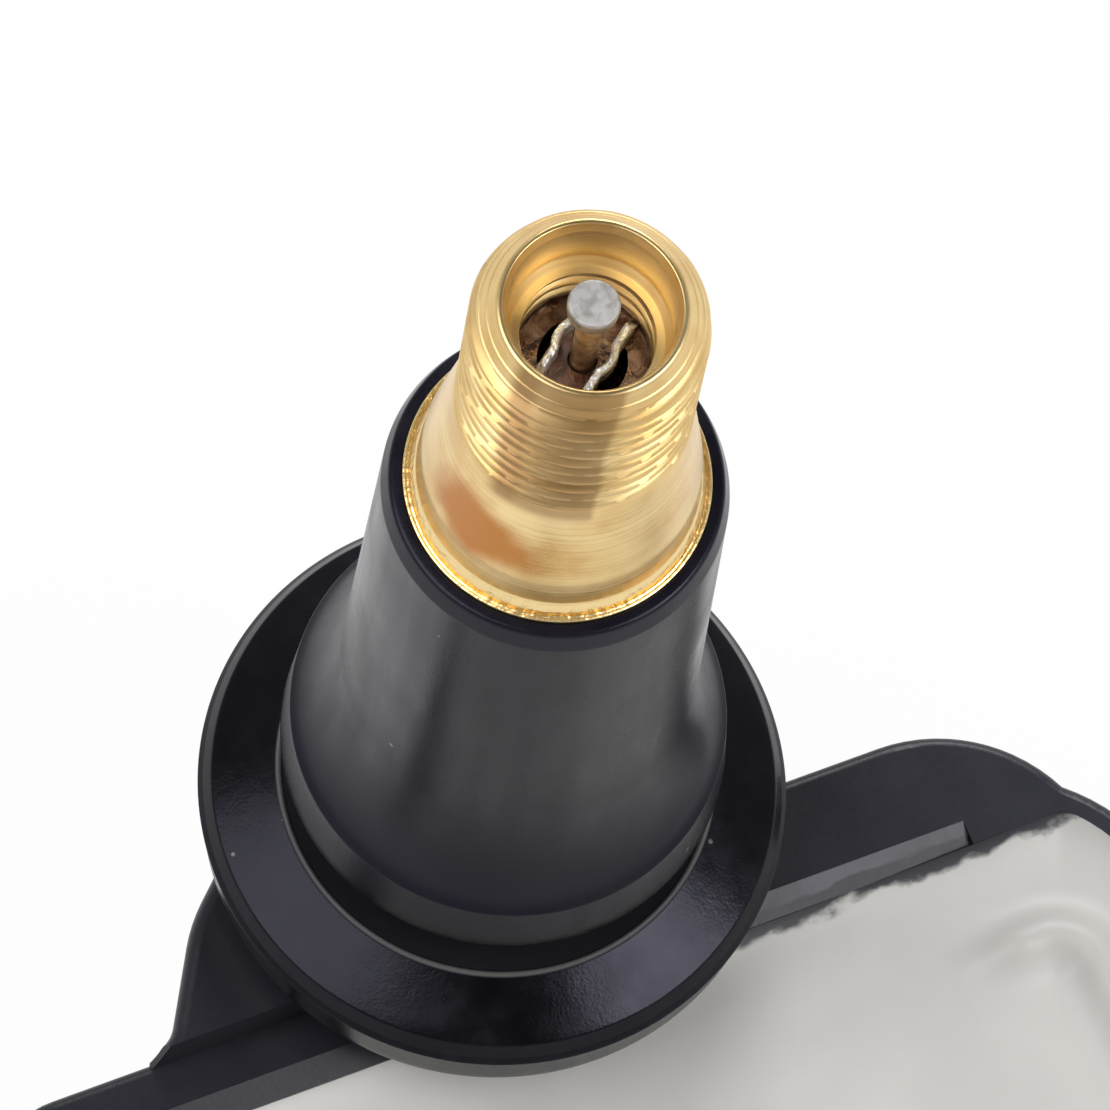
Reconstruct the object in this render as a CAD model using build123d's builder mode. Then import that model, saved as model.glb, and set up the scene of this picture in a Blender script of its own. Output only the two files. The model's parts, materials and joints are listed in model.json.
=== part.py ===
"""Tyre pressure sensor: a snap-in rubber valve with a brass stem, screwed to a potted sensor tray.

The frame has +Z along the stem, out of the wheel. Its origin is on the stem's axis, in the plane of the flange
that seats on the inside of the wheel. +X runs along the tray's long back edge, and the tray lies towards -Y.
"""

import os

from build123d import *

# Stem, outside: sizes in millimetres, heights above the seat plane
cap_thread_r = 3.85
cap_thread_len = 7.8
mouth_crest_r = 3.0
mouth_chamfer_len = 1.1
shoulder_r = 4.55
shoulder_rise = 1.9
shoulder_len = 4.4
rim_r = 5.03
rim_thick = 0.5
shank_r = 3.2
anchor_ring_r = 3.9
anchor_ring_len = 1.6
anchor_ring_gap = 7.0
anchor_ring_count = 3
collar_r = 5.2
spigot_r = 3.4
spigot_flat = 2.9

# Stem, inside
mouth_bore_r = 2.7
mouth_bore_depth = 2.4
mouth_bore_chamfer = 0.18
core_bore_r = 2.45
core_seat_drop = 0.6
core_seat_len = 1.2
chamber_r = 1.9
chamber_end_gap = 0.4
passage_r = 1.15
tap_r = 1.3
tap_web = 0.5
air_hole_r = 0.9
air_hole_drop = 1.4

# Rubber sleeve
sleeve_top_r = 5.68
sleeve_top_drop = 0.8
sleeve_top_proud = 0.2
sleeve_len = 15.2
sleeve_waist_r = 6.0
flare_len = 5.83
crease_r = 7.44
lip_len = 2.62
lip_r = 7.64
groove_len = 3.05
neck_r = 5.9
seat_r = 7.5
flange_r = 10.1
flange_top_r = 9.75
flange_top_drop = 1.0
flange_line_drop = 1.7
flange_foot_r = 9.9
flange_thick = 4.1
flash_out = 0.12
flash_half = 0.1

# Valve core
thread_gap = 0.03
plug_len = 2.9
plug_drop = 4.3
bridge_width = 1.9
bridge_cheek = 0.28
bridge_len = 4.1
bridge_top_len = 2.6
bridge_height = 1.2
bridge_turn = 37.0
bridge_eye_r = 1.1
bridge_round = 0.1
plug_slot_r = 1.45
pin_r = 0.42
pin_head_r = 0.85
pin_head_len = 0.7
pin_head_round = 0.12
pin_proud = 0.3
pin_travel = 1.0
running_gap = 0.06
barrel_r = 1.75
barrel_bore_r = 1.25
barrel_floor = 0.7
barrel_lip_len = 0.35
barrel_lip_r = 1.1
spring_collar_r = 1.05
spring_collar_len = 0.4
spring_collar_gap = 0.8
spring_len = 3.9
spring_mean_r = 0.86
spring_wire_r = 0.12
spring_turns = 6
spring_end_gap = 0.05
cup_r = 1.45
cup_wall = 0.25
cup_floor = 0.45
seal_thick = 0.8
seal_proud = 0.3
seal_gap = 0.04

# Tray
lug_gap = 1.0
lug_r = 7.63
lug_shoulder_angle = 43.0
lug_shoulder_len = 7.83
lug_shoulder_round = 6.0
lug_flank_angle = 59.3
lug_floor = 2.5
lug_step = 1.4
lug_overlap = 0.7
lug_top_round = 0.5
lug_flank_reach = 0.7
lug_ramp_len = 0.7
lug_front_set = 0.6
lug_front_draft = 0.15
spigot_gap = 0.06
pocket_end_gap = 0.1
air_slot_width = 2.2
tray_len = 42.0
tray_back_y = -3.7
tray_corner_r = 5.0
tray_lug_corner_r = 3.4
tray_end_out = 1.3
tray_end_r = 7.2
lobe_out = 1.85
lobe_x = 6.0
lobe_end_drop = 0.65
lobe_corner_r = 6.05
cavity_tight_r = 1.0
tray_wall = 0.9
tray_floor = 1.3
ledge_width = 2.7
ledge_chamfer = 0.9
ledge_chamfer_drop = 0.4
tray_bottom_round = 1.2
tray_rim_round = 0.4
port_r = 0.9
port_boss_r = 2.6
port_boss_len = 0.4
seal_ring_r = 2.2
seal_ring_len = 0.8

# Fixing screw
screw_gap = 0.25
screw_grip = 3.0
screw_end_gap = 0.6
screw_head_r = 2.3
screw_head_len = 1.5
screw_head_round = 0.5
screw_socket_r = 0.84
screw_lobe_r = 0.21
screw_lobes = 6
screw_socket_depth = 0.9

# Potting and what it holds
potting_drop = 1.1
potting_cover = 0.6
welt_r = 0.55
board_gap = 0.7
board_thick = 0.8
board_corner_r = 3.0
chip_side = 5.0
chip_height = 2.4
chip_side_gap = 9.1
battery_r = 10.0
battery_thick = 3.2
battery_step_r = 8.6
battery_step = 0.5
battery_side_gap = 3.6
battery_front_gap = 0.35
battery_back_gap = 2.35
tab_width = 4.0
tab_thick = 0.2
tab_reach = 6.5
tab_leg_gap = 0.5
coil_len = 8.0
coil_side = 3.0
coil_flange = 1.1
coil_waist = 1.8
winding_side = 2.7
winding_round = 0.5
coil_side_gap = 8.6
coil_back_gap = 3.2
crystal_len = 3.2
crystal_width = 2.5
crystal_height = 0.8
crystal_round = 0.4
capacitor_len = 1.6
capacitor_width = 0.8
capacitor_pitch = 2.4
capacitor_count = 4
capacitor_back_gap = 17.5
antenna_r = 0.4
antenna_reach = 4.4
antenna_side_gap = 1.5
antenna_back_gap = 3.9
antenna_front_gap = 3.0
antenna_bend = 1.7
antenna_cover = 0.1

# Heights and places that follow from the sizes above
lip_z = groove_len
crease_z = lip_z + lip_len
sleeve_waist_z = crease_z + flare_len
rim_z = sleeve_waist_z + sleeve_len
rim_under_z = rim_z - rim_thick
shoulder_z = rim_z + shoulder_rise
thread_end_z = shoulder_z + shoulder_len
mouth_z = thread_end_z + cap_thread_len
flange_under_z = -flange_thick
lug_top_z = flange_under_z - lug_gap
air_hole_z = lug_top_z - air_hole_drop
tap_depth = screw_grip + screw_end_gap
spigot_len = air_hole_drop + air_hole_r + tap_web + tap_depth
spigot_end_z = lug_top_z - spigot_len
pocket_floor_z = spigot_end_z - pocket_end_gap
lug_under_z = pocket_floor_z - lug_floor
lug_height = lug_top_z - lug_under_z
screw_len = lug_floor + pocket_end_gap + screw_grip
plug_r = core_bore_r - thread_gap
plug_top_z = mouth_z - plug_drop
plug_under_z = plug_top_z - plug_len
core_bore_z = mouth_z - mouth_bore_depth
core_seat_z = plug_under_z - core_seat_drop
chamber_z = core_seat_z - core_seat_len
spring_top_z = plug_under_z - spring_collar_gap - spring_collar_len
spring_foot_z = spring_top_z - spring_len
barrel_under_z = spring_foot_z - barrel_floor
seal_top_z = barrel_under_z - seal_gap
cup_top_z = seal_top_z - seal_proud
cup_floor_z = seal_top_z - seal_thick
cup_under_z = cup_floor_z - cup_floor
passage_z = cup_under_z - pin_travel - chamber_end_gap
pin_top_z = mouth_z + pin_proud
rim_strip_z = lug_top_z - lug_step
potting_z = rim_strip_z - potting_drop
battery_top_z = potting_z - potting_cover - tab_thick
battery_under_z = battery_top_z - battery_thick
board_top_z = battery_under_z - tab_thick
board_under_z = board_top_z - board_thick
chip_under_z = board_under_z - chip_height
port_top_z = chip_under_z - seal_ring_len
floor_z = port_top_z - port_boss_len
tray_under_z = floor_z - tray_floor
tray_height = rim_strip_z - tray_under_z
cavity_width = battery_front_gap + 2 * battery_r + battery_back_gap
tray_width = ledge_width + cavity_width + tray_wall
tray_front_y = tray_back_y - tray_width
tray_middle_y = tray_back_y - tray_width / 2
tray_end_x = tray_len / 2 + tray_end_out
lobe_back_y = tray_back_y + lobe_out
lobe_end_x = tray_len / 2 - lobe_end_drop
lobe_depth = tray_width / 2
lug_front_y = tray_back_y - lug_overlap
cavity_back_y = tray_back_y - ledge_width
cavity_front_y = tray_front_y + tray_wall
cavity_middle_y = (cavity_back_y + cavity_front_y) / 2
cavity_len = tray_len - 2 * tray_wall
cavity_corner_r = tray_corner_r - tray_wall
cavity_end_x = cavity_len / 2
ledge_len = cavity_len - 2 * cavity_corner_r
chip_x = chip_side_gap - cavity_end_x
coil_x = coil_side_gap - cavity_end_x
battery_x = cavity_end_x - battery_side_gap - battery_r
battery_y = cavity_front_y + battery_front_gap + battery_r
coil_y = cavity_back_y - coil_back_gap
coil_z = board_top_z + coil_side / 2
capacitor_y = cavity_back_y - capacitor_back_gap
crystal_y = (coil_y + capacitor_y) / 2
antenna_side_x = cavity_end_x - antenna_side_gap
antenna_start_x = antenna_side_x - antenna_reach
antenna_back_y = cavity_back_y - antenna_back_gap
antenna_front_y = cavity_front_y + antenna_front_gap
antenna_z = potting_z - antenna_cover - antenna_r
above = Plane.XY.offset


def export(piece, name):
    """Labels a finished piece and writes it as one STEP file."""
    piece.part.label = name
    export_step(piece.part, f"parts/{name}.step")


os.makedirs("parts", exist_ok=True)

# Half outline of the stem's outside, from the spigot in the lug up to the mouth
with BuildSketch(Plane.XZ) as stem_outline:
    with BuildLine():
        Polyline((0, spigot_end_z), (spigot_r, spigot_end_z), (spigot_r, lug_top_z), (collar_r, lug_top_z),
                 (collar_r, flange_under_z), (shank_r, flange_under_z), (shank_r, rim_under_z),
                 (rim_r, rim_under_z), (rim_r, rim_z))
        TangentArc((shoulder_r, shoulder_z), (rim_r, rim_z), tangent=(0, -1))
        Polyline((shoulder_r, shoulder_z), (cap_thread_r, thread_end_z),
                 (cap_thread_r, mouth_z - mouth_chamfer_len), (mouth_crest_r, mouth_z), (0, mouth_z),
                 (0, spigot_end_z))
    make_face()

with BuildPart() as stem_envelope:
    add(stem_outline.sketch)
    revolve(axis=Axis.Z)
    for ring in range(anchor_ring_count):
        ring_z = rim_under_z - (ring + 1) * anchor_ring_gap
        with Locations((0, 0, ring_z)):
            Cylinder(anchor_ring_r, anchor_ring_len)

# Stem: the bored mouth, the core's chamber and its seat, the air passage and the tapped foot
with BuildPart() as valve_stem:
    add(stem_envelope.part)
    with BuildSketch(Plane.XZ):
        with BuildLine():
            Polyline((0, mouth_z), (mouth_bore_r + mouth_bore_chamfer, mouth_z),
                     (mouth_bore_r, mouth_z - mouth_bore_chamfer),
                     (mouth_bore_r, core_bore_z + mouth_bore_r - core_bore_r), (core_bore_r, core_bore_z),
                     (core_bore_r, core_seat_z), (chamber_r, chamber_z), (chamber_r, passage_z),
                     (passage_r, passage_z), (passage_r, air_hole_z), (0, air_hole_z), close=True)
        make_face()
    revolve(axis=Axis.Z, mode=Mode.SUBTRACT)
    with BuildSketch(above(spigot_end_z)):
        Circle(tap_r)
    extrude(amount=tap_depth, mode=Mode.SUBTRACT)
    with BuildSketch(Plane.XZ):
        with Locations((0, air_hole_z)):
            Circle(air_hole_r)
    extrude(amount=spigot_r, both=True, mode=Mode.SUBTRACT)
    for side in (-1, 1):
        with BuildSketch(above(spigot_end_z)):
            with Locations((side * spigot_flat, 0)):
                Rectangle(spigot_r, 2 * spigot_r, align=(Align.MIN if side > 0 else Align.MAX, Align.CENTER))
        extrude(amount=spigot_len, mode=Mode.SUBTRACT)
export(valve_stem, "valve_stem")

# Rubber sleeve, flared to the snap-in lip, with the neck for the wheel's hole and the flange below it
with BuildPart() as rubber_grommet:
    with BuildSketch(Plane.XZ):
        with BuildLine():
            Polyline((0, flange_under_z), (flange_foot_r, flange_under_z),
                     (flange_r, -flange_line_drop - flash_half),
                     (flange_r + flash_out, -flange_line_drop), (flange_r, -flange_line_drop + flash_half),
                     (flange_top_r, -flange_top_drop), (seat_r, 0), (neck_r, 0), (neck_r, lip_z),
                     (lip_r, lip_z), (crease_r, crease_z))
            TangentArc((sleeve_waist_r, sleeve_waist_z), (crease_r, crease_z),
                       tangent=(sleeve_top_r - sleeve_waist_r, sleeve_waist_z - rim_z), tangent_from_first=True)
            Polyline((sleeve_waist_r, sleeve_waist_z), (sleeve_top_r, rim_z - sleeve_top_drop - sleeve_top_proud),
                     (rim_r, rim_z - sleeve_top_proud), (0, rim_z - sleeve_top_proud), (0, flange_under_z))
        make_face()
    revolve(axis=Axis.Z)
    add(stem_envelope.part, mode=Mode.SUBTRACT)
export(rubber_grommet, "rubber_grommet")

# Core plug: a threaded ring with the bridge that guides the pin
with BuildPart() as core_plug:
    with BuildSketch(above(plug_under_z)):
        Circle(plug_r)
        Circle(plug_slot_r, mode=Mode.SUBTRACT)
    extrude(amount=plug_len)
    with BuildSketch(Plane.XZ.rotated((0, 0, bridge_turn))):
        with BuildLine():
            Polyline((-bridge_len / 2, plug_under_z), (bridge_len / 2, plug_under_z),
                     (bridge_len / 2, plug_top_z), (bridge_top_len / 2, plug_top_z + bridge_height),
                     (-bridge_top_len / 2, plug_top_z + bridge_height), (-bridge_len / 2, plug_top_z), close=True)
        make_face()
    extrude(amount=bridge_width / 2, both=True)
    with BuildSketch(above(plug_top_z)):
        Circle(bridge_eye_r)
    extrude(amount=bridge_height)
    with BuildSketch(Plane.XY.offset(plug_top_z).rotated((0, 0, bridge_turn))):
        Rectangle(bridge_len, bridge_width - 2 * bridge_cheek)
        Circle(bridge_eye_r - bridge_cheek)
    extrude(amount=bridge_height, mode=Mode.SUBTRACT)
    fillet(core_plug.faces().filter_by(Axis.Z).group_by(Axis.Z)[-1].edges(), bridge_round)
    with BuildSketch(above(plug_under_z)):
        Circle(pin_r + running_gap)
    extrude(amount=plug_len + bridge_height, mode=Mode.SUBTRACT)
export(core_plug, "core_plug")

# Core barrel: sits in the stem's chamber and carries the spring and the seat for the cup
with BuildPart() as core_barrel:
    with BuildSketch(Plane.XZ):
        with BuildLine():
            Polyline((pin_r + running_gap, barrel_under_z), (barrel_lip_r, barrel_under_z),
                     (barrel_r, barrel_under_z + barrel_lip_len), (barrel_r, plug_under_z),
                     (barrel_bore_r, plug_under_z), (barrel_bore_r, spring_foot_z),
                     (pin_r + running_gap, spring_foot_z), close=True)
        make_face()
    revolve(axis=Axis.Z)
export(core_barrel, "core_barrel")

with BuildPart() as core_gasket:
    with BuildSketch(Plane.XZ):
        with BuildLine():
            Polyline((barrel_r, chamber_z), (chamber_r, chamber_z), (core_bore_r, core_seat_z),
                     (barrel_r, core_seat_z), close=True)
        make_face()
    revolve(axis=Axis.Z)
export(core_gasket, "core_gasket")

# Pin: its head stands level with the mouth, its collar rests on the spring
with BuildPart() as core_pin:
    with BuildSketch(Plane.XZ):
        with BuildLine():
            Polyline((0, cup_under_z), (pin_r, cup_under_z), (pin_r, spring_top_z),
                     (spring_collar_r, spring_top_z), (spring_collar_r, spring_top_z + spring_collar_len),
                     (pin_r, spring_top_z + spring_collar_len), (pin_r, pin_top_z - pin_head_len),
                     (pin_head_r, pin_top_z - pin_head_len + pin_head_round),
                     (pin_head_r, pin_top_z - pin_head_round), (pin_head_r - pin_head_round, pin_top_z),
                     (0, pin_top_z), close=True)
        make_face()
    revolve(axis=Axis.Z)
export(core_pin, "core_pin")

with BuildPart() as core_cup:
    with BuildSketch(Plane.XZ):
        with BuildLine():
            Polyline((pin_r, cup_under_z), (cup_r, cup_under_z), (cup_r, cup_top_z), (cup_r - cup_wall, cup_top_z),
                     (cup_r - cup_wall, cup_floor_z), (pin_r, cup_floor_z), close=True)
        make_face()
    revolve(axis=Axis.Z)
export(core_cup, "core_cup")

with BuildPart() as core_cup_seal:
    with BuildSketch(above(cup_floor_z)):
        Circle(cup_r - cup_wall)
        Circle(pin_r, mode=Mode.SUBTRACT)
    extrude(amount=seal_thick)
export(core_cup_seal, "core_cup_seal")

# Spring: a round wire wound between the barrel's floor and the pin's collar
coil_rise = spring_len - 2 * (spring_wire_r + spring_end_gap)
coil_foot_z = spring_foot_z + spring_wire_r + spring_end_gap
with BuildPart() as core_spring:
    with BuildLine():
        coil = Helix(coil_rise / spring_turns, coil_rise, spring_mean_r, center=(0, 0, coil_foot_z))
    with BuildSketch(Plane(origin=coil @ 0, z_dir=coil % 0)):
        Circle(spring_wire_r)
    sweep(is_frenet=True)
export(core_spring, "core_spring")

# Hollow of the tray. At the battery end its wall turns in to meet the ledge in a tight corner
with BuildPart() as tray_hollow:
    with BuildSketch(above(floor_z)) as hollow_outline:
        with Locations((tray_end_x - tray_wall, cavity_front_y)):
            Rectangle(cavity_len + tray_end_out, tray_width - 2 * tray_wall, align=(Align.MAX, Align.MIN))
        fillet(hollow_outline.vertices().group_by(Axis.X)[-1].sort_by(Axis.Y)[-1], tray_end_r - tray_wall)
        with Locations((0, cavity_back_y)):
            Rectangle(2 * tray_len, tray_width, align=(Align.CENTER, Align.MIN), mode=Mode.SUBTRACT)
        fillet(hollow_outline.vertices().group_by(Axis.X)[0], cavity_corner_r)
        fillet(hollow_outline.vertices().group_by(Axis.X)[-1].sort_by(Axis.Y)[0], cavity_corner_r)
        fillet(hollow_outline.vertices().group_by(Axis.Y)[-1].sort_by(Axis.X)[-1], cavity_tight_r)
    extrude(amount=rim_strip_z - floor_z)

# Round bulge of the tray's back wall, over the battery
with BuildPart() as tray_lobe:
    with BuildSketch(above(tray_under_z)) as lobe_outline:
        with Locations((lobe_end_x, lobe_back_y)):
            Rectangle(lobe_end_x - lobe_x, lobe_depth, align=(Align.MAX, Align.MAX))
        fillet(lobe_outline.vertices().group_by(Axis.X)[-1].sort_by(Axis.Y)[-1], lobe_corner_r)
    extrude(amount=tray_height)
    fillet(tray_lobe.faces().sort_by(Axis.Z)[0].edges(), tray_bottom_round)
    fillet(tray_lobe.faces().sort_by(Axis.Z)[-1].edges(), tray_rim_round)

# Tray: a moulded box with a ledge along its back edge, the bulge over the battery, and the lug that carries the stem.
# The lug's shoulder touches its round end, then its flank runs down and sweeps into the tray's back edge
shoulder = Vector(1, 0).rotate(Axis.Z, lug_shoulder_angle)
shoulder_top = Vector(-shoulder.Y, shoulder.X) * lug_r
shoulder_end = shoulder_top - shoulder * lug_shoulder_len
flank = Vector(1, 0).rotate(Axis.Z, lug_flank_angle)
flank_corner = shoulder_end - flank * ((shoulder_end.Y - tray_back_y) / flank.Y)
flank_reach = flank_corner + flank * lug_flank_reach
flank_end_x = flank_corner.X - lug_flank_reach
with BuildPart() as housing_tray:
    with BuildSketch(above(tray_under_z)) as tray_outline:
        with Locations((tray_end_x, tray_middle_y)):
            Rectangle(tray_len + tray_end_out, tray_width, align=(Align.MAX, Align.CENTER))
        fillet(tray_outline.vertices().group_by(Axis.X)[0].sort_by(Axis.Y)[0], tray_corner_r)
        fillet(tray_outline.vertices().group_by(Axis.X)[0].sort_by(Axis.Y)[-1], tray_lug_corner_r)
        fillet(tray_outline.vertices().group_by(Axis.X)[-1].sort_by(Axis.Y)[0], tray_corner_r)
        fillet(tray_outline.vertices().group_by(Axis.X)[-1].sort_by(Axis.Y)[-1], tray_end_r)
    extrude(amount=tray_height)
    fillet(housing_tray.faces().sort_by(Axis.Z)[0].edges(), tray_bottom_round)
    fillet(housing_tray.faces().sort_by(Axis.Z)[-1].edges(), tray_rim_round)
    add(tray_lobe.part)
    with BuildSketch(above(lug_under_z)) as lug_outline:
        Circle(lug_r)
        with BuildLine():
            TangentArc((flank_reach.X, flank_reach.Y), (flank_end_x, tray_back_y), tangent=(-flank.X, -flank.Y))
            Polyline((flank_end_x, tray_back_y), (flank_end_x, lug_front_y), (lug_r, lug_front_y), (lug_r, 0),
                     (0, 0), (shoulder_top.X, shoulder_top.Y), (shoulder_end.X, shoulder_end.Y),
                     (flank_reach.X, flank_reach.Y))
        make_face()
        fillet(lug_outline.vertices().sort_by_distance((shoulder_end.X, shoulder_end.Y))[0], lug_shoulder_round)
        with Locations((0, lug_front_y)):
            Rectangle(2 * lug_r, lug_r, align=(Align.CENTER, Align.MAX), mode=Mode.SUBTRACT)
    extrude(amount=lug_height)
    lug_top = housing_tray.faces().filter_by(Axis.Z).sort_by(Axis.Z)[-1]
    fillet(lug_top.edges().filter_by_position(Axis.Y, tray_back_y, lug_r), lug_top_round)
    with BuildSketch(Plane.XZ):
        with BuildLine():
            Polyline((flank_end_x, rim_strip_z), (flank_end_x, lug_top_z), (flank_end_x + lug_ramp_len, lug_top_z),
                     close=True)
        make_face()
    extrude(amount=lug_r, both=True, mode=Mode.SUBTRACT)
    with BuildSketch(Plane.YZ):
        with BuildLine():
            Polyline((lug_front_y, lug_top_z), (lug_front_y + lug_front_set, lug_top_z),
                     (lug_front_y + lug_front_set - lug_front_draft, rim_strip_z), (lug_front_y, rim_strip_z),
                     close=True)
        make_face()
    extrude(amount=tray_len / 2, both=True, mode=Mode.SUBTRACT)
    with BuildSketch(Plane.YZ):
        with BuildLine():
            Polyline((cavity_back_y, rim_strip_z), (cavity_back_y + ledge_chamfer, rim_strip_z),
                     (cavity_back_y, rim_strip_z - ledge_chamfer_drop), close=True)
        make_face()
    extrude(amount=ledge_len / 2, both=True, mode=Mode.SUBTRACT)
    add(tray_hollow.part, mode=Mode.SUBTRACT)
    with BuildSketch(above(floor_z)):
        with Locations((chip_x, cavity_middle_y)):
            Circle(port_boss_r)
    extrude(amount=port_boss_len)
    with BuildSketch(above(tray_under_z)):
        with Locations((chip_x, cavity_middle_y)):
            Circle(port_r)
    extrude(amount=tray_floor + port_boss_len, mode=Mode.SUBTRACT)
    with BuildSketch(above(pocket_floor_z)):
        Circle(spigot_r + spigot_gap)
        Rectangle(2 * (spigot_flat + spigot_gap), 2 * (spigot_r + spigot_gap), mode=Mode.INTERSECT)
    extrude(amount=lug_top_z - pocket_floor_z, mode=Mode.SUBTRACT)
    with BuildSketch(above(air_hole_z - air_hole_r)):
        Rectangle(air_slot_width, lug_r + lug_top_round, align=(Align.CENTER, Align.MIN))
    extrude(amount=lug_top_z - air_hole_z + air_hole_r, mode=Mode.SUBTRACT)
    with BuildSketch(above(lug_under_z)):
        Circle(tap_r + screw_gap)
    extrude(amount=pocket_floor_z - lug_under_z, mode=Mode.SUBTRACT)
export(housing_tray, "housing_tray")

# Screw from below: button head with a six-lobed socket
with BuildPart() as fixing_screw:
    with BuildSketch(above(lug_under_z - screw_head_len)):
        Circle(screw_head_r)
    extrude(amount=screw_head_len)
    fillet(fixing_screw.faces().sort_by(Axis.Z)[0].edges(), screw_head_round)
    with BuildSketch(above(lug_under_z)):
        Circle(tap_r - thread_gap)
    extrude(amount=screw_len)
    with BuildSketch(above(lug_under_z - screw_head_len)):
        Circle(screw_socket_r)
        with PolarLocations(screw_socket_r, screw_lobes):
            Circle(screw_lobe_r)
    extrude(amount=screw_socket_depth, mode=Mode.SUBTRACT)
export(fixing_screw, "fixing_screw")

# Electronics in the tray, from the floor up
with BuildPart() as port_seal:
    with BuildSketch(above(port_top_z)):
        with Locations((chip_x, cavity_middle_y)):
            Circle(seal_ring_r)
            Circle(port_r, mode=Mode.SUBTRACT)
    extrude(amount=seal_ring_len)
export(port_seal, "port_seal")

with BuildPart() as sensor_chip:
    with BuildSketch(above(chip_under_z)):
        with Locations((chip_x, cavity_middle_y)):
            Rectangle(chip_side, chip_side)
            Circle(port_r, mode=Mode.SUBTRACT)
    extrude(amount=chip_height / 2)
    with BuildSketch(above(chip_under_z + chip_height / 2)):
        with Locations((chip_x, cavity_middle_y)):
            Rectangle(chip_side, chip_side)
    extrude(amount=chip_height / 2)
export(sensor_chip, "sensor_chip")

with BuildPart() as circuit_board:
    with BuildSketch(above(board_under_z)):
        with Locations((0, cavity_middle_y)):
            RectangleRounded(cavity_len - 2 * board_gap, cavity_width - 2 * board_gap, board_corner_r)
    extrude(amount=board_thick)
export(circuit_board, "circuit_board")

with BuildPart() as battery_tab_negative:
    with BuildSketch(above(board_top_z)):
        with Locations((battery_x, battery_y)):
            Rectangle(2 * tab_reach, tab_width)
    extrude(amount=tab_thick)
export(battery_tab_negative, "battery_tab_negative")

with BuildPart() as battery_cell:
    with BuildSketch(above(battery_under_z)):
        with Locations((battery_x, battery_y)):
            Circle(battery_step_r)
    extrude(amount=battery_step)
    with BuildSketch(above(battery_under_z + battery_step)):
        with Locations((battery_x, battery_y)):
            Circle(battery_r)
    extrude(amount=battery_thick - battery_step)
    fillet(battery_cell.faces().sort_by(Axis.Z)[-1].edges(), battery_step)
export(battery_cell, "battery_cell")

tab_leg_x = battery_x - battery_r - tab_leg_gap
with BuildPart() as battery_tab_positive:
    with BuildSketch(Plane.XZ.offset(-battery_y - tab_width / 2)):
        with BuildLine():
            Polyline((battery_x, battery_top_z), (tab_leg_x, battery_top_z), (tab_leg_x, board_top_z),
                     (tab_leg_x - tab_thick, board_top_z), (tab_leg_x - tab_thick, battery_top_z + tab_thick),
                     (battery_x, battery_top_z + tab_thick), close=True)
        make_face()
    extrude(amount=tab_width)
export(battery_tab_positive, "battery_tab_positive")

with BuildPart() as coil_core:
    with Locations((coil_x, coil_y, coil_z)):
        Box(coil_len, coil_side, coil_side)
    with Locations((coil_x, coil_y, coil_z)):
        Box(coil_len - 2 * coil_flange, coil_side, coil_side, mode=Mode.SUBTRACT)
        Box(coil_len - 2 * coil_flange, coil_waist, coil_waist)
export(coil_core, "coil_core")

with BuildPart() as coil_winding:
    with BuildSketch(Plane.YZ.offset(coil_x - coil_len / 2 + coil_flange)):
        with Locations((coil_y, coil_z)):
            RectangleRounded(winding_side, winding_side, winding_round)
            Rectangle(coil_waist, coil_waist, mode=Mode.SUBTRACT)
    extrude(amount=coil_len - 2 * coil_flange)
export(coil_winding, "coil_winding")

with BuildPart() as crystal_can:
    with BuildSketch(above(board_top_z)):
        with Locations((coil_x, crystal_y)):
            RectangleRounded(crystal_len, crystal_width, crystal_round)
    extrude(amount=crystal_height)
export(crystal_can, "crystal_can")

with BuildPart() as chip_capacitors:
    with BuildSketch(above(board_top_z)):
        with Locations((coil_x, capacitor_y)):
            with GridLocations(capacitor_pitch, capacitor_pitch, capacitor_count, 1):
                Rectangle(capacitor_len, capacitor_width)
    extrude(amount=capacitor_width)
export(chip_capacitors, "chip_capacitors")

# Antenna: a bent wire that rises from the board and runs just under the potting's surface
with BuildPart() as antenna_wire:
    with BuildLine() as antenna_path:
        FilletPolyline((antenna_start_x, antenna_back_y, board_top_z), (antenna_start_x, antenna_back_y, antenna_z),
                       (antenna_side_x, antenna_back_y, antenna_z), (antenna_side_x, antenna_front_y, antenna_z),
                       (antenna_side_x, antenna_front_y, board_top_z), radius=antenna_bend)
    with BuildSketch(above(board_top_z)):
        with Locations((antenna_start_x, antenna_back_y)):
            Circle(antenna_r)
    sweep()
export(antenna_wire, "antenna_wire")

# Potting: fills the tray round everything on the board, with a welt over the antenna
welt_front_y = antenna_front_y + antenna_bend
with BuildPart() as potting:
    add(tray_hollow.part)
    split(bisect_by=above(potting_z), keep=Keep.BOTTOM)
    with BuildLine():
        FilletPolyline((antenna_start_x, antenna_back_y, potting_z), (antenna_side_x, antenna_back_y, potting_z),
                       (antenna_side_x, welt_front_y, potting_z), radius=antenna_bend)
    with BuildSketch(Plane.YZ.offset(antenna_start_x)):
        with Locations((antenna_back_y, potting_z)):
            Circle(welt_r)
    sweep()
    with Locations((antenna_start_x, antenna_back_y, potting_z), (antenna_side_x, welt_front_y, potting_z)):
        Sphere(welt_r)
    with BuildSketch(above(floor_z)):
        with Locations((chip_x, cavity_middle_y)):
            Circle(port_boss_r)
    extrude(amount=port_boss_len, mode=Mode.SUBTRACT)
    with BuildSketch(above(floor_z)):
        with Locations((chip_x, cavity_middle_y)):
            Circle(port_r)
    extrude(amount=chip_under_z + chip_height / 2 - floor_z, mode=Mode.SUBTRACT)
    for held in (port_seal, sensor_chip, circuit_board, battery_tab_negative, battery_cell, battery_tab_positive,
                 coil_core, coil_winding, crystal_can, chip_capacitors, antenna_wire):
        add(held.part, mode=Mode.SUBTRACT)
export(potting, "potting")
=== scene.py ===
"""Looks of a tyre pressure sensor: brass valve stem, rubber sleeve, valve core and potted tray."""

import json

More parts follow.
